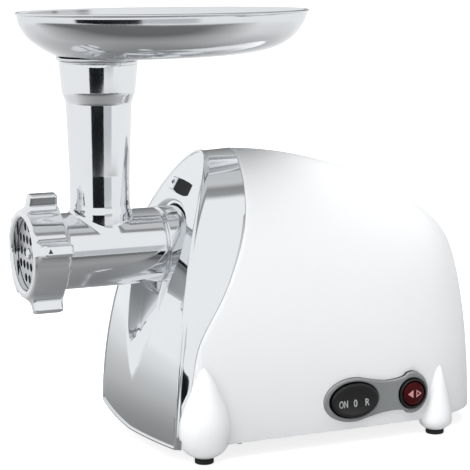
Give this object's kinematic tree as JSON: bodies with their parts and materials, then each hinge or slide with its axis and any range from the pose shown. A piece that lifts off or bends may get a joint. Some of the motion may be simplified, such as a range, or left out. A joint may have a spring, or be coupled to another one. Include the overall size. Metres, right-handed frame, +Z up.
{
  "type": "electric meat grinder",
  "caption": "Electric meat grinder: cast barrel and neck with oval feed tray and lugged ring, on an arched white motor body with a chrome front and teardrop legs.",
  "frame": {"origin": "centre of the overall bounding box in X and Y, at the ground plane under the rubber feet", "axes": "+X from the grinding head to the rear of the motor body, +Z up, -Y the side with the switches"},
  "size_m": [0.3878, 0.2122, 0.3467],
  "materials": {
    "cast_polished": "polished",
    "chrome": "polished",
    "steel": "polished",
    "white_plastic": "gloss",
    "grey_plastic": "satin",
    "black_plastic": "satin",
    "red_plastic": "gloss",
    "rubber": "matt",
    "copper": "enamelled copper",
    "nylon": "matt",
    "bronze": "sintered bronze",
    "carbon": "matt"
  },
  "bodies": {
    "body": {"main_casing": "white_plastic", "front_fascia": "chrome", "head_socket": "cast_polished", "gearbox_housing": "grey_plastic", "gearbox_cover": "grey_plastic", "base_plate": "grey_plastic", "base_screw_1": "steel", "base_screw_2": "steel", "base_screw_3": "steel", "base_screw_4": "steel", "leg_pod_front_near": "white_plastic", "leg_pod_front_far": "white_plastic", "leg_pod_rear_near": "white_plastic", "leg_pod_rear_far": "white_plastic", "foot_front_near": "rubber", "foot_front_far": "rubber", "foot_rear_near": "rubber", "foot_rear_far": "rubber", "switch_panel": "grey_plastic", "rocker_housing": "black_plastic", "button_bezel": "black_plastic", "button_housing": "black_plastic", "cord_inlet": "black_plastic", "stator_core": "steel", "field_coil_upper": "copper", "field_coil_lower": "copper", "carbon_brush_near": "carbon", "carbon_brush_far": "carbon", "brush_holder_near": "bronze", "brush_holder_far": "bronze", "motor_bracket": "grey_plastic", "motor_bearing_front": "bronze", "motor_bearing_rear": "bronze", "motor_bolt_near": "steel", "motor_bolt_far": "steel"},
    "head": {"grinder_head": "cast_polished", "cutting_plate": "steel"},
    "ring": {"locking_ring": "cast_polished"},
    "tray": {"hopper_tray": "steel"},
    "screw": {"feed_screw": "cast_polished", "cutting_blade": "steel"},
    "output": {"output_shaft": "steel", "output_gear": "nylon"},
    "counter": {"counter_shaft": "steel", "counter_pinion": "steel", "counter_gear": "nylon"},
    "armature": {"armature_shaft": "steel", "motor_pinion": "steel", "armature_core": "steel", "commutator": "copper", "motor_fan": "black_plastic"},
    "latch": {"release_button": "chrome"},
    "rocker": {"rocker_switch": "black_plastic"},
    "reverse": {"reverse_button": "red_plastic"}
  },
  "joints": [
    {"name": "motor_spin", "type": "hinge", "parent": "body", "child": "armature", "pos_m": [0.0611, 0, 0.077], "axis": [1, 0, 0], "continuous": true},
    {"name": "counter_spin", "type": "hinge", "parent": "body", "child": "counter", "pos_m": [0.0011, 0, 0.1145], "axis": [1, 0, 0], "continuous": true},
    {"name": "output_spin", "type": "hinge", "parent": "body", "child": "output", "pos_m": [-0.0039, 0, 0.1595], "axis": [1, 0, 0], "continuous": true},
    {"name": "screw_spin", "type": "hinge", "parent": "body", "child": "screw", "pos_m": [-0.1139, 0, 0.1595], "axis": [1, 0, 0], "continuous": true},
    {"name": "head_twist", "type": "hinge", "parent": "body", "child": "head", "pos_m": [-0.0559, 0, 0.1595], "axis": [1, 0, 0], "range_deg": [0, 35]},
    {"name": "ring_turn", "type": "hinge", "parent": "head", "child": "ring", "pos_m": [-0.1799, 0, 0.1595], "axis": [1, 0, 0], "range_deg": [0, 540]},
    {"name": "tray_lift", "type": "slide", "parent": "head", "child": "tray", "axis": [0, 0, 1], "range_m": [0, 0.05]},
    {"name": "release_press", "type": "slide", "parent": "body", "child": "latch", "axis": [0.866, 0, -0.5], "range_m": [0, 0.0025], "stiffness_N_per_m": 400, "springref_m": -0.001},
    {"name": "rocker_tilt", "type": "hinge", "parent": "body", "child": "rocker", "pos_m": [0.0544, -0.084, 0.0367], "axis": [0, 0, 1], "range_deg": [-8, 8]},
    {"name": "reverse_press", "type": "slide", "parent": "body", "child": "reverse", "axis": [0, 1, 0], "range_m": [0, 0.002], "stiffness_N_per_m": 400, "springref_m": -0.001}
  ],
  "couplings": [
    {"joint": "counter_spin", "follows": "motor_spin", "ratio": -0.25},
    {"joint": "output_spin", "follows": "motor_spin", "ratio": 0.0625},
    {"joint": "screw_spin", "follows": "motor_spin", "ratio": 0.0625}
  ]
}
